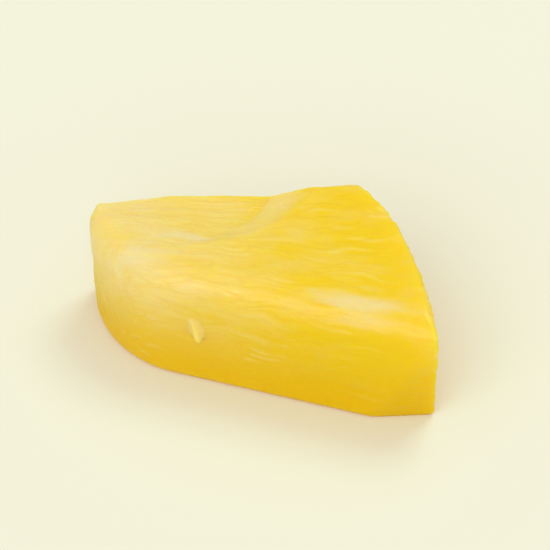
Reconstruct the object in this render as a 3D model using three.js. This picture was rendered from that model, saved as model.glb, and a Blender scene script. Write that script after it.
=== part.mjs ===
/*
 * One chunk of fresh pineapple: a wedge, cut with a knife from a thick slice of the peeled and cored fruit.
 *
 * Millimetres, +Z up. The chunk lies on one of its cut faces. Its fibres run along X, from the core end
 * at -X to the rind end at +X, and fan out a little, because they all start at the fruit's core. The
 * front cut faces -Y. The origin is under the middle of the chunk, on the surface that it lies on.
 *
 * The form is one closed surface. It starts as a divided block between the plan corners of the wedge.
 * Each point of the block moves along a ray from the block's middle until it meets the cuts, whose
 * edges are rounded off, and the relief of the flesh is then added along the surface's normals.
 */
import * as THREE from "three";
import { ImprovedNoise } from "three/addons/math/ImprovedNoise.js";
import { mergeVertices } from "three/addons/utils/BufferGeometryUtils.js";

// Driving sizes
const THICKNESS = 12.4; // of the slice that the chunk comes from
const WEDGE_DEG = 17.8; // between the two long cuts
const TOP_FALL_DEG = 0.9; // the top cut falls towards the core end

// The upright cuts, each as a plane through a point halfway up. It faces facingDeg in plan, turning
// from +X towards +Y, and leanDeg out of upright; a negative lean tucks the foot of the cut in.
const FRONT_CUT = { x: 0, y: -9.1, facingDeg: -90, leanDeg: 1 };
const FOOT_TRIM = { x: 15.4, y: -9.1, facingDeg: -75, leanDeg: -9 }; // pares the front cut at the rind end
const BACK_CUT = { x: 6, y: 9, facingDeg: 90 + WEDGE_DEG, leanDeg: 3 };
const CORE_CUT = { x: -17.1, y: -4.4, facingDeg: 192, leanDeg: -8 };

// The rind end is a piece of the peeled fruit's round outside, given through the same kind of point.
const RIND_END = { x: 12.3, y: -0.4, facingDeg: 32.5, leanDeg: -2, radius: 50 };

// Widths over which the edges are rounded off
const SOFT_EDGE = 3.4; // round the top at the front and the core end
const CRISP_EDGE = 1.8; // round the back and the rind end
const FOOT_EDGE = 2;
const CORE_CORNER = 11; // the core end runs into the front cut in one broad curve

// The flat that the chunk rests on, with its corners going round from the front of the core end. Outside
// it the underside rises a little.
const REST_CORNERS = [
  new THREE.Vector2(-8, -6),
  new THREE.Vector2(12.8, -6.5),
  new THREE.Vector2(4, 5.8),
  new THREE.Vector2(-13.8, 0.3),
];
const REST_RISE = 0.12; // up for each unit outwards

// A shallow step in the top, where the knife slipped: a round floor, deepest along its right-hand lip
const STEP = { x: -12.2, y: 5.4, radius: 11.1, depth: 1, lip: 2, runOut: 11 };

// Shallow hollows left in the rind end by the fruit's eyes
const EYES = [
  { x: 12.8, y: 2.2, z: 8.6, radius: 2.5, depth: 0.9 },
  { x: 15.4, y: -3.6, z: 3.4, radius: 2.1, depth: 0.7 },
];

// Relief of the flesh: broad waves, bundles of fibres and ragged edges, all fading out at the foot
const WAVE = { span: 8, height: 0.5 };
const BUNDLE = { length: 13, width: 2.6, height: 0.42 };
const RAG = { span: 1.7, height: 0.9 };
const FIBRE_START = new THREE.Vector2(-46, -9); // the fruit's core, where the two long cuts would meet
const FOOT_FADE = 2.5; // the height over which the relief fades in above the flat underside

// The block that the surface starts from, with its plan corners going round from the front of the core end
const BLOCK_CORNERS = [
  new THREE.Vector2(-16.5, -9),
  new THREE.Vector2(17.5, -9),
  new THREE.Vector2(6, 9),
  new THREE.Vector2(-16.5, 1.5),
];
const BLOCK_FACES = [43, 22, 15]; // along X, Y and Z, so that a face is about 0.8 across
const LONGEST_RAY = 40; // reaches out of the flesh in every direction
const RAY_HALVINGS = 40;
const NO_HEIGHT = 1e-6; // what the halving leaves on the flat

const FLESH = new THREE.MeshStandardMaterial({
  name: "flesh",
  color: new THREE.Color().setRGB(0.93, 0.7, 0.12, THREE.SRGBColorSpace),
  roughness: 0.38,
  metalness: 0,
});

const { degToRad, smoothstep } = THREE.MathUtils;
const noise = new ImprovedNoise();

// The larger of two distances, with the edge between them rounded off over a width.
function roundedMax(a, b, width) {
  const overlap = Math.max(width - Math.abs(a - b), 0);
  return Math.max(a, b) + (overlap * overlap) / (4 * width);
}

// A knife cut as a plane that faces out of the flesh.
function cutPlane({ x, y, facingDeg, leanDeg }) {
  const facing = degToRad(facingDeg);
  const lean = degToRad(leanDeg);
  const outward = new THREE.Vector3(
    Math.cos(facing) * Math.cos(lean),
    Math.sin(facing) * Math.cos(lean),
    Math.sin(lean),
  );
  return new THREE.Plane().setFromNormalAndCoplanarPoint(outward, new THREE.Vector3(x, y, THICKNESS / 2));
}

const frontCut = cutPlane(FRONT_CUT);
const footTrim = cutPlane(FOOT_TRIM);
const backCut = cutPlane(BACK_CUT);
const coreCut = cutPlane(CORE_CUT);

// How far a point is outside the fruit's round outside, at the rind end.
function rindDistance(p) {
  const facing = degToRad(RIND_END.facingDeg);
  const middleX = RIND_END.x - RIND_END.radius * Math.cos(facing);
  const middleY = RIND_END.y - RIND_END.radius * Math.sin(facing);
  const lean = (p.z - THICKNESS / 2) * Math.tan(degToRad(RIND_END.leanDeg));
  return Math.hypot(p.x - middleX, p.y - middleY) + lean - RIND_END.radius;
}

// The height of the top cut over a point, with the step in it.
function topHeight(p) {
  const fall = (RIND_END.x - p.x) * Math.tan(degToRad(TOP_FALL_DEG));
  const inside = STEP.radius - Math.hypot(p.x - STEP.x, p.y - STEP.y);
  const runOut = smoothstep(p.x - CORE_CUT.x, 0, STEP.runOut);
  return THICKNESS - fall - STEP.depth * smoothstep(inside, 0, STEP.lip) * runOut;
}

// The height of the underside over a point: none on the flat, and rising outside it.
function underHeight(p) {
  let outside = 0;
  REST_CORNERS.forEach((corner, i) => {
    const next = REST_CORNERS[(i + 1) % REST_CORNERS.length];
    const along = next.clone().sub(corner).normalize();
    outside = Math.max(outside, (p.x - corner.x) * along.y - (p.y - corner.y) * along.x);
  });
  return REST_RISE * outside;
}

// How far a point is outside the flesh; negative inside it.
function fleshDistance(p) {
  const front = roundedMax(frontCut.distanceToPoint(p), footTrim.distanceToPoint(p), CRISP_EDGE);
  const frontAndCore = roundedMax(front, coreCut.distanceToPoint(p), CORE_CORNER);
  const withTop = roundedMax(frontAndCore, p.z - topHeight(p), SOFT_EDGE);
  const backAndRind = roundedMax(backCut.distanceToPoint(p), rindDistance(p), CRISP_EDGE);
  const aboveFoot = roundedMax(withTop, backAndRind, CRISP_EDGE);
  return roundedMax(aboveFoot, underHeight(p) - p.z, FOOT_EDGE);
}

// How deep a point is in the hollows of the eyes, each a bell curve.
function eyeDepth(p) {
  let depth = 0;
  for (const eye of EYES) {
    const radii = Math.hypot(p.x - eye.x, p.y - eye.y, p.z - eye.z) / eye.radius;
    depth += eye.depth * Math.exp(-radii * radii);
  }
  return depth;
}

// Noise that is drawn out along the fibres, which run away from the fruit's core.
function bundleNoise(p) {
  const fromCore = new THREE.Vector2(p.x, p.y).sub(FIBRE_START);
  const acrossFibres = fromCore.angle() > Math.PI ? fromCore.angle() - 2 * Math.PI : fromCore.angle();
  const arc = acrossFibres * Math.abs(FIBRE_START.x);
  return noise.noise(fromCore.length() / BUNDLE.length, arc / BUNDLE.width, p.z / BUNDLE.width);
}

// How far the relief stands out at a point of the surface, which looks along normal there.
function reliefHeight(p, normal) {
  const wave = WAVE.height * noise.noise(p.x / WAVE.span, p.y / WAVE.span, p.z / WAVE.span);
  const bundles = BUNDLE.height * bundleNoise(p);
  const onEdge = 1 - Math.max(Math.abs(normal.x), Math.abs(normal.y), Math.abs(normal.z));
  const rag = RAG.height * onEdge * noise.noise(p.x / RAG.span, p.y / RAG.span, p.z / RAG.span);
  return (wave + bundles + rag - eyeDepth(p)) * smoothstep(p.z, 0, FOOT_FADE);
}

// Where a ray from the middle leaves the flesh, found by halving.
function rayEnd(middle, direction) {
  const p = new THREE.Vector3();
  let inside = 0;
  let outside = LONGEST_RAY;
  for (let i = 0; i < RAY_HALVINGS; i++) {
    const reach = (inside + outside) / 2;
    p.copy(direction).multiplyScalar(reach).add(middle);
    if (fleshDistance(p) < 0) {
      inside = reach;
    } else {
      outside = reach;
    }
  }
  return p;
}

// Moves every point of a geometry to where place(point, normal) puts it.
function movePoints(geometry, place) {
  geometry.computeVertexNormals();
  const points = geometry.getAttribute("position");
  const normals = geometry.getAttribute("normal");
  for (let i = 0; i < points.count; i++) {
    const p = new THREE.Vector3().fromBufferAttribute(points, i);
    const normal = new THREE.Vector3().fromBufferAttribute(normals, i);
    points.setXYZ(i, ...place(p, normal));
  }
  geometry.computeVertexNormals();
}

// Moves the nearest point of a geometry to a place.
function pullPointTo(geometry, place) {
  const points = geometry.getAttribute("position");
  const p = new THREE.Vector3();
  let nearest = 0;
  let leastDistance = Infinity;
  for (let i = 0; i < points.count; i++) {
    const distance = p.fromBufferAttribute(points, i).distanceTo(place);
    if (distance < leastDistance) {
      nearest = i;
      leastDistance = distance;
    }
  }
  points.setXYZ(nearest, ...place);
}

// A block of one unit, divided into faces, with its points shared by the faces that meet there.
function dividedBlock() {
  const block = new THREE.BoxGeometry(1, 1, 1, ...BLOCK_FACES);
  block.deleteAttribute("normal");
  block.deleteAttribute("uv");
  return mergeVertices(block);
}

// The place in the wedge of a point of the unit block.
function toWedge(p) {
  const [coreFront, rindFront, rindBack, coreBack] = BLOCK_CORNERS;
  const front = coreFront.clone().lerp(rindFront, p.x + 0.5);
  const back = coreBack.clone().lerp(rindBack, p.x + 0.5);
  const plan = front.lerp(back, p.y + 0.5);
  return new THREE.Vector3(plan.x, plan.y, (p.z + 0.5) * THICKNESS);
}

function chunkGeometry() {
  const geometry = dividedBlock();
  const middle = toWedge(new THREE.Vector3(0, 0, 0));
  movePoints(geometry, (p) => rayEnd(middle, toWedge(p).sub(middle).normalize()));
  movePoints(geometry, (p, normal) => p.addScaledVector(normal, reliefHeight(p, normal)));
  movePoints(geometry, (p) => p.setZ(p.z < NO_HEIGHT ? 0 : p.z));
  REST_CORNERS.forEach((corner) => pullPointTo(geometry, new THREE.Vector3(corner.x, corner.y, 0)));

  geometry.computeBoundingBox();
  const centre = geometry.boundingBox.getCenter(new THREE.Vector3());
  geometry.translate(-centre.x, -centre.y, -geometry.boundingBox.min.z);
  return geometry;
}

const chunk = new THREE.Mesh(chunkGeometry(), FLESH);
chunk.name = "pineapple_chunk";

const part = new THREE.Group();
part.add(chunk);

export default part;
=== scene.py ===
"""The looks of one chunk of fresh pineapple, lying on a pale table under a large soft light.

The chunk is modelled from a block by knife cuts, rounded along its edges, and given the relief of its
fibres. Sizes are in millimetres and become Blender's metres through MM.
"""

import math

import bmesh
import bpy
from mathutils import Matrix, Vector


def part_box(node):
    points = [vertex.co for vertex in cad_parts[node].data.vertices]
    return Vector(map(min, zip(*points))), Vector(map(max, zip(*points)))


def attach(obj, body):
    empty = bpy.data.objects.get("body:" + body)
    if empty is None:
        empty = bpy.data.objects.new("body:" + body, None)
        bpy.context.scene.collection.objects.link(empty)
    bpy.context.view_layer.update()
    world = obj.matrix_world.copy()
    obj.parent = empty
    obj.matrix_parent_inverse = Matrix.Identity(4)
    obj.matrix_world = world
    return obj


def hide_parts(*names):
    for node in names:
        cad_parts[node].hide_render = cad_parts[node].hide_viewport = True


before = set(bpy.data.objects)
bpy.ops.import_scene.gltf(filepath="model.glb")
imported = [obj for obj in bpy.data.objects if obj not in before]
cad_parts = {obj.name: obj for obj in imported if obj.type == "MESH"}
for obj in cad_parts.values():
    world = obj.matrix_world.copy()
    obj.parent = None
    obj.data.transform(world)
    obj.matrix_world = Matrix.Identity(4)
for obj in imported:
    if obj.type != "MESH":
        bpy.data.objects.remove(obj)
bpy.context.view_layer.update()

MM = 0.001
CAD_NODE = "pineapple_chunk"
PIECE = "pineapple_flesh_chunk"
BOX_LOW, BOX_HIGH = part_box(CAD_NODE)

# --------------------------------------------------------------------------------------------------
# Shape

BLOCK_SPARE = 3  # how much larger than the chunk the block is on each side

# The cuts. Each is a plane through a point halfway up the chunk. It faces facing degrees in plan, turning
# from +X towards +Y, and lean degrees out of upright; a negative lean tucks the foot of the cut in.
HALFWAY_UP = 6.2
FRONT_CUT = {"x": 1.0, "y": -8.76, "facing": -92, "lean": 4}
BACK_CUT = {"x": 7.05, "y": 9.02, "facing": 107.8, "lean": 3}
CORE_CUT = {"x": -16.7, "y": -3.88, "facing": 192, "lean": -4}

# The top falls a little towards the front and the core end, from the corner of the back cut and the rind.
TOP_CORNER = Vector((9.0, 9.0, 12.25))
TOP_CUT = {"facing": 255, "lean": 87.1}

# The rind end is part of the peeled fruit's round outside, made by cuts that touch it all along.
RIND_MIDDLE = Vector((13.29, 0.12, 0))
RIND_FACING = 32.5
RIND_RADIUS = 50
RIND_CUTS = 7
RIND_CUT_STEP = 3  # degrees from one cut to the next

# Five small cuts are made after the edges are rounded, so theirs stay crisp.
TRIMS = (
    {"x": 5.5, "y": 8.2, "facing": 52, "lean": 0},  # the corner of the rind end and the back cut
    {"x": -11.0, "y": 3.3, "facing": 117, "lean": 3},  # the back cut, towards the core end
    {"x": -17.3, "y": -0.6, "facing": 166, "lean": 2},  # the corner of the back cut and the core end
    {"x": 14.97, "y": -9.17, "facing": -81.5, "lean": -2.5},  # the foot of the front cut, at the rind end
    {"x": 12.2, "y": -10.25, "facing": -71, "lean": -9},  # a little further round
)

# How the sides are told apart. A face whose normal rises or falls by more than this is the top or the
# foot. An upright face belongs to the first side that ends beyond the degrees it faces, or to the front.
LEVEL_FACE = 0.7
SIDE_ENDS = {"rind": 70, "back": 150, "core": 235}

# Radii of the rounded edges
CORE_CORNER = 10.2  # the core end runs into the front cut in one broad curve
SOFT_EDGE = 3.3  # round the top at the front and the core end
CRISP_EDGE = 1.2  # round the back and the rind end
SHARP_EDGE = 0.6  # where the rind end meets the front
FOOT_EDGE = 0.8

# The shallow step where the knife slipped: the place of a round, slightly tilted cutter in the top. It
# is deepest at the back and runs out towards the front and the core end.
STEP = {"x": -12.0, "y": 5.8, "z": 10.7, "radius": 10, "flare": 2.6, "tilt": (-3.4, 0.8, 0)}
STEP_CUTTER_HEIGHT = 4

# Hollows left in the rind end by the fruit's eyes
EYES = (
    {"turn": 34.6, "z": 8.4, "radius": 2.3, "depth": 0.5},
    {"turn": 27.6, "z": 3.8, "radius": 1.9, "depth": 0.4},
)

# A small flake of flesh that the knife raised on the front cut
FLAKE = {"middle": Vector((-5.0, -8.55, 5.9)), "width": 1.3, "length": 2.4, "lean": 24, "lift": 8}
FLAKE_TAPER = 3  # how many times narrower its upper end is

SKIN_VOXEL = 0.15  # fine enough for the fibres
SMOOTHING_ROUNDS = 8

# --------------------------------------------------------------------------------------------------
# Fibres and relief

# A mask that fades is given by where it is 0 and where it is 1. Where its values there are others, they
# follow.

# The fibres run away from the fruit's core
FIBRE_START = Vector((-44.95, -8.48, 0))
FIBRE_ARC_AT = 45  # the distance at which the place across the fibres is a true length

# Patterns of noise: the length along the fibres, the width across them, how far they stand out where
# they are relief, and a shift that makes each differ from the others
WAVES = {"length": 8, "width": 8, "height": 0.4, "shift": 0}
BUNDLES = {"length": 13, "width": 2.4, "height": 0.3, "shift": 7.3}
GRAINS = {"length": 0.9, "width": 0.55, "height": 0.08, "shift": 14.6}
RAGS = {"length": 0.9, "width": 0.9, "height": 0.9, "shift": 31.7}
CELLS = {"length": 0.5, "width": 0.33, "detail": 3.0, "roughness": 0.6, "shift": 11.0}
JUICE = {"length": 5, "width": 2, "detail": 3.0, "shift": 19.0}
MOTTLING = {"length": 5, "width": 3, "shift": 41.0}
STREAKS = {"length": 6, "width": 1.2, "shift": 53.0}
NOISE_MIDDLE = 0.5

# The rags are torn edges: noise above their level stands out, and noise below it is torn away. Flat
# sides have a small share of them. As the skin's normal turns towards the rind end, from 0 to 0.7 of the
# way, they grow from 0.3 to 1.5 times.
RAG_LEVEL = 0.6
RAGS_ON_FLATS = 0.2
RAGS_TO_RIND = (0.0, 0.7, 0.3, 1.5)

# Strands with splits between them. They wander a little, and fade to a share of their strength near the
# core and near the rind.
STRANDS = {"length": 14, "width": 0.8, "height": 0.03}
STRAND_EDGE = (0.36, 0.1)  # in cells, how far from its middle a strand starts and is full
SPLIT_DEPTH = 0.03
SPLIT_EDGE = (0.12, 0.0)
WANDER_SCALE = 0.22  # how quickly they wander
WANDER_REACH = 2.2  # how far they wander, from one side to the other
STRANDS_FROM_CORE = (28.0, 36.0, 0.3, 1.0)
STRANDS_TO_RIND = (54.0, 58.0, 1.0, 0.3)

FOOT_FADE = 2.5  # the height over which the relief fades in above the table

# --------------------------------------------------------------------------------------------------
# Colours and finish

RIND_YELLOW = (0.84, 0.6, 0.01, 1)
CORE_CREAM = (0.84, 0.68, 0.245, 1)
# Amber for the darker splits, and for the shade painted towards the foot
AMBER_OF_SPLITS_AND_FOOT_SHADE = (0.78, 0.505, 0.004, 1)
# Cream for the strands and the flake, and for the painted highlight beside the step
CREAM_OF_STRANDS_FLAKE_AND_STEP_HIGHLIGHT = (0.87, 0.72, 0.3, 1)
# The pale colour of the painted highlights
HIGHLIGHT_PALE = (0.79, 0.695, 0.4, 1)

# Where one colour passes into another: yellow into cream back along the fibres, and into amber down to the
# foot, where the amber is painted shade
YELLOW_TO_CREAM = (56.0, 28.0)
YELLOW_TO_FOOT_SHADE = (10.0, 1.0, 0.0, 0.95)
MOTTLING_LEVEL = 0.55  # mottling above it adds cream, and below it yellow

# How much of their own colour the strands, the painted highlight beside the step and the flake, and the
# painted highlight patches have
STRAND_SHARE = 0.2
STEP_HIGHLIGHT_AND_FLAKE_SHARE = 0.5
HIGHLIGHT_SHARE = 0.65

# A painted highlight along the step's edge: how far out from the edge's foot it starts and how far out it
# ends, and how high up and how far back it begins
STEP_HIGHLIGHT_STARTS = (-0.4, 0.4)
STEP_HIGHLIGHT_ENDS = (3.4, 1.4)
STEP_HIGHLIGHT_UP = (9.5, 10.5)
STEP_HIGHLIGHT_BACK = (-3, 4)

FLAKE_EDGE = (1.3, 0.9)  # in half sizes of the flake, where its paler colour starts and is full

# Painted highlights, as pale patches, two on the ridge and one at the step's edge: their middles and half
# their sizes
PAINTED_HIGHLIGHTS = (
    {"middle": (-7.2, -2.4, 11.0), "half_size": (3.6, 1.0, 1.2)},
    {"middle": (-11.2, -6.0, 10.4), "half_size": (4.4, 2.6, 2.6)},
    {"middle": (10.0, -6.9, 11.0), "half_size": (6.4, 2.0, 2.0)},
)
STREAK_REACH = 1.8  # how strongly streaks break up the edges of the patches

# Juice lies on the flesh in patches, where its noise is high. The ridge, which is the rounded edge of the
# top at the front, holds more of it, and it gets less towards the foot.
JUICE_PATCH = (0.48, 0.74, 0.05, 0.85)
JUICE_UP = (3.0, 10.0)
RIDGE = {"y": -7.4, "z": 10.2, "width": 2.8}
RIDGE_JUICE = 0.15

CELL_BUMP = {"Strength": 0.8, "Distance": 0.12 * MM}
FLESH_FINISH = {
    "Roughness": 0.45,
    "Specular IOR Level": 0.4,
    "Specular Tint": (1.0, 0.85, 0.15, 1),
    "Coat Roughness": 0.35,
    "Coat IOR": 1.5,
    "Subsurface Weight": 1.0,
    "Subsurface Radius": (1.0, 0.6, 0.08),
    "Subsurface Scale": 2.4 * MM,
}

# The table glows a little red, painted warm light that keeps the shadows on it light and warm.
TABLE_FINISH = {
    "Base Color": (0.62, 0.818, 0.66, 1),
    "Emission Color": (0.22, 0.0, 0.0, 1),
    "Emission Strength": 1.0,
    "Roughness": 0.9,
    "Specular IOR Level": 0.0,
}
SKY_LIGHT = {"Color": (1.0, 0.99, 0.96, 1), "Strength": 0.66}

# --------------------------------------------------------------------------------------------------
# Table, lights and view

TABLE_SIZE = 6000
SOFTBOX = {"size": 340, "place": Vector((160, 400, 690)), "power": 1.7}
FILL = {"size": 1200, "place": Vector((-150, -1050, 950)), "power": 8.8}

# The view of the photograph, with a long lens
VIEW_AZIMUTH = 16
VIEW_ELEVATION = 43
LENS = 400
VIEW_DISTANCE = 560


# --------------------------------------------------------------------------------------------------
# Cutting


def activate(piece):
    """Leaves a piece as the only selected one, ready to be worked on."""
    bpy.ops.object.select_all(action="DESELECT")
    piece.select_set(True)
    bpy.context.view_layer.objects.active = piece


def outward(facing, lean):
    """The direction that a cut faces."""
    facing = math.radians(facing)
    lean = math.radians(lean)
    return Vector((math.cos(facing) * math.cos(lean), math.sin(facing) * math.cos(lean), math.sin(lean)))


def slice_off(piece, point, direction):
    """Cuts off what lies beyond a plane through point, and closes the cut."""
    activate(piece)
    bpy.ops.object.mode_set(mode="EDIT")
    bpy.ops.mesh.select_all(action="SELECT")
    bpy.ops.mesh.bisect(plane_co=point, plane_no=direction, use_fill=True, clear_outer=True)
    bpy.ops.object.mode_set(mode="OBJECT")


def knife_cut(piece, x, y, facing, lean):
    """An upright or leaning cut through a point halfway up."""
    slice_off(piece, Vector((x, y, HALFWAY_UP)) * MM, outward(facing, lean))


def starting_block():
    """A block that is a little larger than the chunk on every side but the one that it lies on."""
    spare = BLOCK_SPARE * MM
    size = BOX_HIGH - BOX_LOW + Vector((2 * spare, 2 * spare, spare))
    middle = (BOX_LOW + BOX_HIGH) / 2 + Vector((0, 0, spare / 2))
    bpy.ops.object.select_all(action="DESELECT")
    bpy.ops.mesh.primitive_cube_add(size=1, location=middle, scale=size)
    bpy.ops.object.transform_apply(location=True, rotation=True, scale=True)
    block = bpy.context.active_object
    block.name = PIECE
    return block


def rind_point(turn):
    """The point of the round rind end, in plan, that faces turn degrees."""
    return RIND_MIDDLE + RIND_RADIUS * (outward(turn, 0) - outward(RIND_FACING, 0))


def cut_rind_end(piece):
    """Rounds the rind end with a row of cuts that all touch the same circle."""
    for i in range(RIND_CUTS):
        turn = RIND_FACING + (i - (RIND_CUTS - 1) / 2) * RIND_CUT_STEP
        point = rind_point(turn)
        knife_cut(piece, point.x, point.y, turn, lean=0)


def cut_wedge():
    """The chunk's plain wedge, with sharp edges."""
    wedge = starting_block()
    slice_off(wedge, TOP_CORNER * MM, outward(**TOP_CUT))
    for cut in (FRONT_CUT, BACK_CUT, CORE_CUT):
        knife_cut(wedge, **cut)
    cut_rind_end(wedge)
    return wedge


# --------------------------------------------------------------------------------------------------
# Rounding


def side_of(normal):
    """Which side of the chunk a face belongs to, from the way it faces."""
    if abs(normal.z) > LEVEL_FACE:
        return "top" if normal.z > 0 else "foot"
    facing = math.degrees(math.atan2(normal.y, normal.x)) % 360
    for side, end in SIDE_ENDS.items():
        if facing < end:
            return side
    return "front"


def select_edges_between(piece, pairs):
    """Selects, in edit mode, the edges where two sides meet, for each pair of sides."""
    bpy.ops.mesh.select_all(action="DESELECT")
    bpy.ops.mesh.select_mode(type="EDGE")
    mesh = bmesh.from_edit_mesh(piece.data)
    for edge in mesh.edges:
        sides = {side_of(face.normal) for face in edge.link_faces}
        edge.select_set(sides in pairs)
    mesh.select_flush_mode()
    bmesh.update_edit_mesh(piece.data)


def round_core_corner(piece):
    """The broad curve from the core end into the front cut."""
    turn = math.radians(FRONT_CUT["facing"] + 360 - CORE_CUT["facing"])
    activate(piece)
    bpy.ops.object.mode_set(mode="EDIT")
    select_edges_between(piece, [{"core", "front"}])
    bpy.ops.mesh.bevel(offset=CORE_CORNER * math.tan(turn / 2) * MM, segments=12, affect="EDGES")
    bpy.ops.object.mode_set(mode="OBJECT")


def weigh_edges(piece, pairs, radius):
    """Gives the edges between some sides their share of the widest rounding."""
    select_edges_between(piece, pairs)
    bpy.ops.transform.edge_bevelweight(value=radius / SOFT_EDGE)


def round_edges(piece):
    """Rounds every edge: softly on top at the front and the core end, and crisply elsewhere."""
    round_core_corner(piece)
    activate(piece)
    bpy.ops.object.mode_set(mode="EDIT")
    weigh_edges(piece, [{"top", "front"}, {"top", "core"}], SOFT_EDGE)
    weigh_edges(piece, [{"top", "back"}, {"top", "rind"}, {"back", "rind"}, {"back", "core"}], CRISP_EDGE)
    weigh_edges(piece, [{"front", "rind"}], SHARP_EDGE)
    weigh_edges(piece, [{"foot", "front"}, {"foot", "core"}, {"foot", "back"}, {"foot", "rind"}], FOOT_EDGE)
    bpy.ops.object.mode_set(mode="OBJECT")
    bevel = piece.modifiers.new("rounded edges", "BEVEL")
    bevel.limit_method = "WEIGHT"
    bevel.width = SOFT_EDGE * MM
    bevel.segments = 5
    bpy.ops.object.modifier_apply(modifier=bevel.name)


# --------------------------------------------------------------------------------------------------
# Step, eyes, flake and skin


def cut_by(piece, cutter):
    """Takes a cutter's form away from a piece, and the cutter with it."""
    activate(piece)
    cutting = piece.modifiers.new("cutting", "BOOLEAN")
    cutting.operation = "DIFFERENCE"
    cutting.solver = "EXACT"
    cutting.object = cutter
    bpy.ops.object.modifier_apply(modifier=cutting.name)
    bpy.data.objects.remove(cutter)


def cut_step(piece):
    """Takes the shallow step out of the top."""
    bpy.ops.object.select_all(action="DESELECT")
    bpy.ops.mesh.primitive_cone_add(
        vertices=72,
        radius1=STEP["radius"] * MM,
        radius2=(STEP["radius"] + STEP["flare"] * STEP_CUTTER_HEIGHT) * MM,
        depth=STEP_CUTTER_HEIGHT * MM,
        location=Vector((STEP["x"], STEP["y"], STEP["z"] + STEP_CUTTER_HEIGHT / 2)) * MM,
        rotation=[math.radians(angle) for angle in STEP["tilt"]],
    )
    cut_by(piece, bpy.context.active_object)


def hollow_eye(piece, turn, z, radius, depth):
    """Scoops a shallow round hollow out of the rind end, where that faces turn degrees."""
    ball = (radius ** 2 + depth ** 2) / (2 * depth)
    place = rind_point(turn) + outward(turn, 0) * (ball - depth) + Vector((0, 0, z))
    bpy.ops.object.select_all(action="DESELECT")
    bpy.ops.mesh.primitive_uv_sphere_add(segments=48, ring_count=24, radius=ball * MM, location=place * MM)
    cut_by(piece, bpy.context.active_object)


def raise_flake(piece):
    """Adds the small flake that stands out of the front cut, mostly at its wider lower end."""
    bpy.ops.object.select_all(action="DESELECT")
    bpy.ops.mesh.primitive_cone_add(
        vertices=24,
        radius1=FLAKE["width"] / 2 * MM,
        radius2=FLAKE["width"] / 2 / FLAKE_TAPER * MM,
        depth=FLAKE["length"] * MM,
        location=FLAKE["middle"] * MM,
        rotation=(math.radians(-FLAKE["lift"]), math.radians(-FLAKE["lean"]), 0),
    )
    piece.select_set(True)
    bpy.context.view_layer.objects.active = piece
    bpy.ops.object.join()


def fine_skin(piece):
    """Turns the piece into one fine, even, closed skin and softens it."""
    activate(piece)
    remesh = piece.modifiers.new("fine skin", "REMESH")
    remesh.mode = "VOXEL"
    remesh.voxel_size = SKIN_VOXEL * MM
    bpy.ops.object.modifier_apply(modifier=remesh.name)
    smooth = piece.modifiers.new("softened", "SMOOTH")
    smooth.factor = 0.5
    smooth.iterations = SMOOTHING_ROUNDS
    bpy.ops.object.modifier_apply(modifier=smooth.name)


# --------------------------------------------------------------------------------------------------
# Nodes


def add(tree, kind, inputs=None, **settings):
    """Adds a node with its settings and inputs. An input is a value or another node's output."""
    node = tree.nodes.new(kind)
    for name, value in settings.items():
        setattr(node, name, value)
    for name, value in (inputs or {}).items():
        if isinstance(value, bpy.types.NodeSocket):
            tree.links.new(value, node.inputs[name])
        else:
            node.inputs[name].default_value = value
    return node


def maths(tree, operation, a, b=0.0):
    """The result of an operation on one or two numbers."""
    return add(tree, "ShaderNodeMath", {0: a, 1: b}, operation=operation).outputs[0]


def vector_maths(tree, operation, a, b=(0, 0, 0)):
    """The result of an operation on one or two vectors."""
    return add(tree, "ShaderNodeVectorMath", {0: a, 1: b}, operation=operation).outputs[0]


def scaled(tree, vector, factor):
    """A vector made longer or shorter."""
    return add(tree, "ShaderNodeVectorMath", {0: vector, "Scale": factor}, operation="SCALE").outputs[0]


def length_of(tree, vector):
    """The length of a vector."""
    return add(tree, "ShaderNodeVectorMath", {0: vector}, operation="LENGTH").outputs["Value"]


def separated(tree, vector):
    """The X, Y and Z of a vector."""
    return add(tree, "ShaderNodeSeparateXYZ", {0: vector}).outputs


def hypotenuse(tree, a, b):
    """The distance of two numbers from zero, taken at right angles."""
    squares = maths(tree, "ADD", maths(tree, "POWER", a, 2.0), maths(tree, "POWER", b, 2.0))
    return maths(tree, "SQRT", squares)


def remap(tree, value, low, high, to_low=0.0, to_high=1.0):
    """Maps a range of values smoothly to another, held at both ends."""
    inputs = {"Value": value, "From Min": low, "From Max": high, "To Min": to_low, "To Max": to_high}
    return add(tree, "ShaderNodeMapRange", inputs, interpolation_type="SMOOTHSTEP").outputs["Result"]


def remap_mm(tree, value, low, high):
    """Maps a range of lengths smoothly to 0 and 1, held at both ends."""
    return remap(tree, value, low * MM, high * MM)


def mixed(tree, color, share, other):
    """A color with a share of another in it. Sockets 6 and 7 of the node are its two colors."""
    inputs = {"Factor": share, 6: color, 7: other}
    return add(tree, "ShaderNodeMix", inputs, data_type="RGBA", clamp_factor=True).outputs[2]


def tinted(tree, color, mask, share, other):
    """A color with a share of another in it where a mask is full."""
    return mixed(tree, color, maths(tree, "MULTIPLY", mask, share), other)


def set_inputs(node, values):
    """Sets some inputs of a node, by name."""
    for name, value in values.items():
        node.inputs[name].default_value = value


# --------------------------------------------------------------------------------------------------
# Fibres


def fibre_coordinates(tree, position):
    """Where a point is along its fibre, across the fibres and up, in millimetres."""
    from_core = vector_maths(tree, "SUBTRACT", scaled(tree, position, 1 / MM), FIBRE_START)
    parts = separated(tree, from_core)
    along = hypotenuse(tree, parts["X"], parts["Y"])
    across = maths(tree, "MULTIPLY", maths(tree, "ARCTAN2", parts["Y"], parts["X"]), FIBRE_ARC_AT)
    return add(tree, "ShaderNodeCombineXYZ", {"X": along, "Y": across, "Z": parts["Z"]}).outputs[0]


def in_sizes_of(tree, fibre_place, pattern):
    """Fibre coordinates measured in the length and width of a pattern."""
    across = 1 / pattern["width"]
    return vector_maths(tree, "MULTIPLY", fibre_place, (1 / pattern["length"], across, across))


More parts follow.
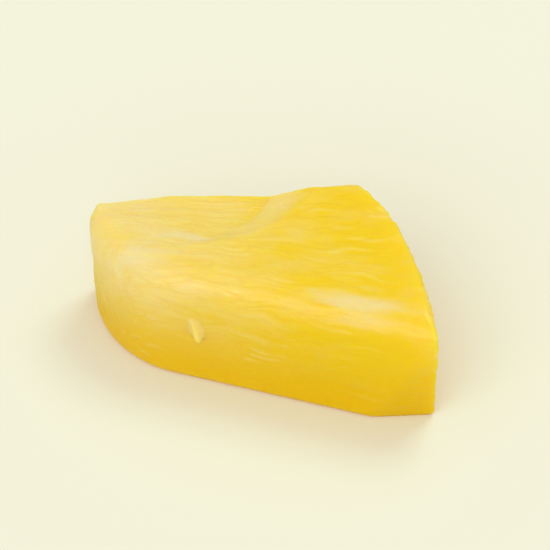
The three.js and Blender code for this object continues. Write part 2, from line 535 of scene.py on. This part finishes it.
def fibre_noise(tree, fibre_place, pattern):
    """A pattern's noise from 0 to 1, drawn out along the fibres."""
    place = in_sizes_of(tree, fibre_place, pattern)
    inputs = {
        "Vector": vector_maths(tree, "ADD", place, [pattern["shift"]] * 3),
        "Scale": 1.0,
        "Detail": pattern.get("detail", 2.0),
        "Roughness": pattern.get("roughness", 0.5),
    }
    return add(tree, "ShaderNodeTexNoise", inputs).outputs[0]


def wandering(tree, fibre_place):
    """Fibre coordinates that wander a little to the sides."""
    inputs = {"Vector": fibre_place, "Scale": WANDER_SCALE, "Detail": 1.0}
    noise = add(tree, "ShaderNodeTexNoise", inputs).outputs["Color"]
    centred = vector_maths(tree, "SUBTRACT", noise, [NOISE_MIDDLE] * 3)
    wander = vector_maths(tree, "MULTIPLY", centred, (0, WANDER_REACH, WANDER_REACH))
    return vector_maths(tree, "ADD", fibre_place, wander)


def strands_and_splits(tree, fibre_place):
    """Masks of the strands of the flesh and of the splits between them. Each strand is a long cell."""
    place = in_sizes_of(tree, wandering(tree, fibre_place), STRANDS)
    cells = add(tree, "ShaderNodeTexVoronoi", {"Vector": place, "Scale": 1.0}, feature="F1")
    borders = add(tree, "ShaderNodeTexVoronoi", {"Vector": place, "Scale": 1.0}, feature="DISTANCE_TO_EDGE")
    along = separated(tree, fibre_place)["X"]
    from_core = remap(tree, along, *STRANDS_FROM_CORE)
    grown = maths(tree, "MULTIPLY", from_core, remap(tree, along, *STRANDS_TO_RIND))
    strand = maths(tree, "MULTIPLY", remap(tree, cells.outputs["Distance"], *STRAND_EDGE), grown)
    split = maths(tree, "MULTIPLY", remap(tree, borders.outputs["Distance"], *SPLIT_EDGE), grown)
    return strand, split


# --------------------------------------------------------------------------------------------------
# Relief


def noise_relief(tree, fibre_place):
    """The height of the waves, bundles and grains of the flesh."""
    height = 0.0
    for pattern in (WAVES, BUNDLES, GRAINS):
        centred = maths(tree, "SUBTRACT", fibre_noise(tree, fibre_place, pattern), NOISE_MIDDLE)
        height = maths(tree, "ADD", maths(tree, "MULTIPLY", centred, pattern["height"] * MM), height)
    return height


def strand_relief(tree, fibre_place, height):
    """Raises the strands and sinks the splits between them."""
    strand, split = strands_and_splits(tree, fibre_place)
    raised = maths(tree, "ADD", height, maths(tree, "MULTIPLY", strand, STRANDS["height"] * MM))
    return maths(tree, "SUBTRACT", raised, maths(tree, "MULTIPLY", split, SPLIT_DEPTH * MM))


def rag_relief(tree, fibre_place, normal, height):
    """Adds the rags, which are largest on the edges and on the rind end."""
    sides = separated(tree, vector_maths(tree, "ABSOLUTE", normal))
    widest = maths(tree, "MAXIMUM", maths(tree, "MAXIMUM", sides["X"], sides["Y"]), sides["Z"])
    on_edge = maths(tree, "ADD", maths(tree, "SUBTRACT", 1.0, widest), RAGS_ON_FLATS)
    to_rind = remap(tree, separated(tree, normal)["X"], *RAGS_TO_RIND)
    ragged = maths(tree, "MULTIPLY", on_edge, to_rind)
    rag = maths(tree, "SUBTRACT", fibre_noise(tree, fibre_place, RAGS), RAG_LEVEL)
    added = maths(tree, "MULTIPLY", maths(tree, "MULTIPLY", rag, ragged), RAGS["height"] * MM)
    return maths(tree, "ADD", height, added)


def relief_tree():
    """The relief of the flesh as a Geometry Nodes tree, which moves the skin along its normals."""
    tree = bpy.data.node_groups.new("flesh relief", "GeometryNodeTree")
    tree.interface.new_socket("Geometry", in_out="INPUT", socket_type="NodeSocketGeometry")
    tree.interface.new_socket("Geometry", in_out="OUTPUT", socket_type="NodeSocketGeometry")
    skin = add(tree, "NodeGroupInput").outputs["Geometry"]
    position = add(tree, "GeometryNodeInputPosition").outputs[0]
    normal = add(tree, "GeometryNodeInputNormal").outputs[0]

    place = fibre_coordinates(tree, position)
    height = noise_relief(tree, place)
    height = strand_relief(tree, place, height)
    height = rag_relief(tree, place, normal, height)
    above_foot = remap(tree, separated(tree, place)["Z"], 0.0, FOOT_FADE)
    height = maths(tree, "MULTIPLY", height, above_foot)

    inputs = {"Geometry": skin, "Offset": scaled(tree, normal, height)}
    moved = add(tree, "GeometryNodeSetPosition", inputs).outputs[0]
    add(tree, "NodeGroupOutput", {"Geometry": moved})
    return tree


def add_relief(piece):
    """Gives the skin its relief."""
    activate(piece)
    relief = piece.modifiers.new("relief", "NODES")
    relief.node_group = relief_tree()
    bpy.ops.object.modifier_apply(modifier=relief.name)
    bpy.ops.object.shade_smooth()


# --------------------------------------------------------------------------------------------------
# Masks on the flesh


def along_ridge(tree, position):
    """A mask of the ridge between the top and the front cut, full in its middle third."""
    parts = separated(tree, position)
    off_y = maths(tree, "SUBTRACT", parts["Y"], RIDGE["y"] * MM)
    off_z = maths(tree, "SUBTRACT", parts["Z"], RIDGE["z"] * MM)
    return remap_mm(tree, hypotenuse(tree, off_y, off_z), RIDGE["width"], RIDGE["width"] / 3)


def painted_step_highlight(tree, position):
    """A mask of the painted highlight beside the step, strongest at the back."""
    parts = separated(tree, position)
    in_plan = add(tree, "ShaderNodeCombineXYZ", {"X": parts["X"], "Y": parts["Y"]}).outputs[0]
    from_step = vector_maths(tree, "SUBTRACT", in_plan, Vector((STEP["x"], STEP["y"], 0)) * MM)
    apart = length_of(tree, from_step)
    starts = remap_mm(tree, apart, *(STEP["radius"] + out for out in STEP_HIGHLIGHT_STARTS))
    ends = remap_mm(tree, apart, *(STEP["radius"] + out for out in STEP_HIGHLIGHT_ENDS))
    band = maths(tree, "MULTIPLY", starts, ends)
    up = remap_mm(tree, parts["Z"], *STEP_HIGHLIGHT_UP)
    on_top = maths(tree, "MULTIPLY", up, remap_mm(tree, parts["Y"], *STEP_HIGHLIGHT_BACK))
    return maths(tree, "MULTIPLY", band, on_top)


def on_flake(tree, position):
    """A mask of the raised flake."""
    from_flake = vector_maths(tree, "SUBTRACT", position, FLAKE["middle"] * MM)
    inputs = {"Vector": from_flake, "Angle": math.radians(FLAKE["lean"])}
    upright = add(tree, "ShaderNodeVectorRotate", inputs, rotation_type="Y_AXIS").outputs[0]
    half_size = Vector((FLAKE["width"], FLAKE["width"], FLAKE["length"])) * MM / 2
    apart = vector_maths(tree, "DIVIDE", upright, half_size)
    return remap(tree, length_of(tree, apart), *FLAKE_EDGE)


def in_patch(tree, position, streaks, middle, half_size):
    """A mask of a patch of the flesh around a place, with soft and streaky edges."""
    from_middle = vector_maths(tree, "SUBTRACT", position, Vector(middle) * MM)
    apart = vector_maths(tree, "DIVIDE", from_middle, Vector(half_size) * MM)
    return remap(tree, maths(tree, "ADD", length_of(tree, apart), streaks), 1.0, 0.0)


# --------------------------------------------------------------------------------------------------
# Materials


def new_material(name):
    """A material with an empty node tree but for the shader and the output."""
    material = bpy.data.materials.new(name)
    material.use_nodes = True
    tree = material.node_tree
    return material, tree, tree.nodes["Principled BSDF"]


def ground_color(tree, place):
    """Yellow that is mottled with cream towards the core, and turns amber towards the foot as painted
    shade.
    """
    parts = separated(tree, place)
    mottling = maths(tree, "SUBTRACT", fibre_noise(tree, place, MOTTLING), MOTTLING_LEVEL)
    creamy = maths(tree, "ADD", remap(tree, parts["X"], *YELLOW_TO_CREAM), mottling)
    color = mixed(tree, RIND_YELLOW, creamy, CORE_CREAM)
    # Deeper amber towards the foot is painted shade
    return mixed(tree, color, remap(tree, parts["Z"], *YELLOW_TO_FOOT_SHADE), AMBER_OF_SPLITS_AND_FOOT_SHADE)


def add_fibre_colors(tree, position, place, color):
    """Adds the paler strands and flake, the darker splits, and the painted highlight beside the step."""
    strand, split = strands_and_splits(tree, place)
    color = tinted(tree, color, strand, STRAND_SHARE, CREAM_OF_STRANDS_FLAKE_AND_STEP_HIGHLIGHT)
    color = tinted(tree, color, split, STRAND_SHARE, AMBER_OF_SPLITS_AND_FOOT_SHADE)
    # Paler beside the step: a painted highlight
    color = tinted(tree, color, painted_step_highlight(tree, position), STEP_HIGHLIGHT_AND_FLAKE_SHARE, CREAM_OF_STRANDS_FLAKE_AND_STEP_HIGHLIGHT)
    return tinted(tree, color, on_flake(tree, position), STEP_HIGHLIGHT_AND_FLAKE_SHARE, CREAM_OF_STRANDS_FLAKE_AND_STEP_HIGHLIGHT)


def add_painted_highlights(tree, position, place, color):
    """Adds painted highlights: pale patches on the ridge and at the step's edge."""
    centred = maths(tree, "SUBTRACT", fibre_noise(tree, place, STREAKS), NOISE_MIDDLE)
    streaks = maths(tree, "MULTIPLY", centred, STREAK_REACH)
    # Each patch is a painted highlight
    for patch in PAINTED_HIGHLIGHTS:
        highlight_mask = in_patch(tree, position, streaks, **patch)
        color = tinted(tree, color, highlight_mask, HIGHLIGHT_SHARE, HIGHLIGHT_PALE)
    return color


def juice_film(tree, position, place):
    """How much juice lies on the flesh."""
    on_ridge = maths(tree, "MULTIPLY", along_ridge(tree, position), RIDGE_JUICE)
    wet = maths(tree, "ADD", fibre_noise(tree, place, JUICE), on_ridge)
    film = remap(tree, wet, *JUICE_PATCH)
    return maths(tree, "MULTIPLY", film, remap(tree, separated(tree, place)["Z"], *JUICE_UP))


def flesh():
    """Wet, translucent, fibrous flesh: paler towards the core, and deeper in colour towards the foot, which
    is painted shade.
    """
    material, tree, shader = new_material("pineapple flesh")
    position = add(tree, "ShaderNodeTexCoord").outputs["Object"]
    place = fibre_coordinates(tree, position)
    color = ground_color(tree, place)
    color = add_fibre_colors(tree, position, place, color)
    color = add_painted_highlights(tree, position, place, color)
    tree.links.new(color, shader.inputs["Base Color"])
    bump = add(tree, "ShaderNodeBump", {"Height": fibre_noise(tree, place, CELLS), **CELL_BUMP})
    tree.links.new(bump.outputs[0], shader.inputs["Normal"])
    tree.links.new(juice_film(tree, position, place), shader.inputs["Coat Weight"])
    set_inputs(shader, FLESH_FINISH)
    return material


def table_top():
    """The matt, plain, ivory table top, with a red glow that paints warm light."""
    material, _, shader = new_material("table with painted warm glow")
    set_inputs(shader, TABLE_FINISH)
    return material


# --------------------------------------------------------------------------------------------------
# The chunk and what is round it


def make_chunk():
    """The whole chunk, which stands for the plain solid."""
    chunk = cut_wedge()
    round_edges(chunk)
    for trim in TRIMS:
        knife_cut(chunk, **trim)
    cut_step(chunk)
    for eye in EYES:
        hollow_eye(chunk, **eye)
    raise_flake(chunk)
    fine_skin(chunk)
    add_relief(chunk)
    chunk.data.materials.clear()
    chunk.data.materials.append(flesh())
    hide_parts(CAD_NODE)
    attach(chunk, "root")


def make_table():
    """A table top that reaches past every side of the view."""
    bpy.ops.object.select_all(action="DESELECT")
    bpy.ops.mesh.primitive_plane_add(size=TABLE_SIZE * MM)
    table = bpy.context.active_object
    table.name = "table_top"
    table.data.materials.append(table_top())


def make_sky():
    """An even white light from all round."""
    world = bpy.data.worlds.new("light tent")
    bpy.context.scene.world = world
    world.use_nodes = True
    set_inputs(world.node_tree.nodes["Background"], SKY_LIGHT)


def make_soft_light(name, size, place, power):
    """A square soft light that looks at the chunk."""
    bpy.ops.object.light_add(type="AREA", location=place * MM)
    light = bpy.context.active_object
    light.name = name
    light.data.size = size * MM
    light.data.energy = power
    light.rotation_euler = place.to_track_quat("Z", "Y").to_euler()
    light.visible_camera = False


def make_camera():
    """A camera at the photograph's viewing angle, with the whole chunk in its middle."""
    back = outward(VIEW_AZIMUTH - 90, VIEW_ELEVATION)
    target = (BOX_LOW + BOX_HIGH) / 2
    bpy.ops.object.camera_add(location=target + back * VIEW_DISTANCE * MM)
    camera = bpy.context.active_object
    camera.rotation_euler = back.to_track_quat("Z", "Y").to_euler()
    camera.data.lens = LENS
    bpy.context.scene.camera = camera


def show_plain_colors():
    """Shows the colours as they are lit, with no film look."""
    bpy.context.scene.view_settings.view_transform = "Standard"


make_chunk()
make_table()
make_sky()
make_soft_light("softbox", **SOFTBOX)
make_soft_light("fill", **FILL)
make_camera()
show_plain_colors()
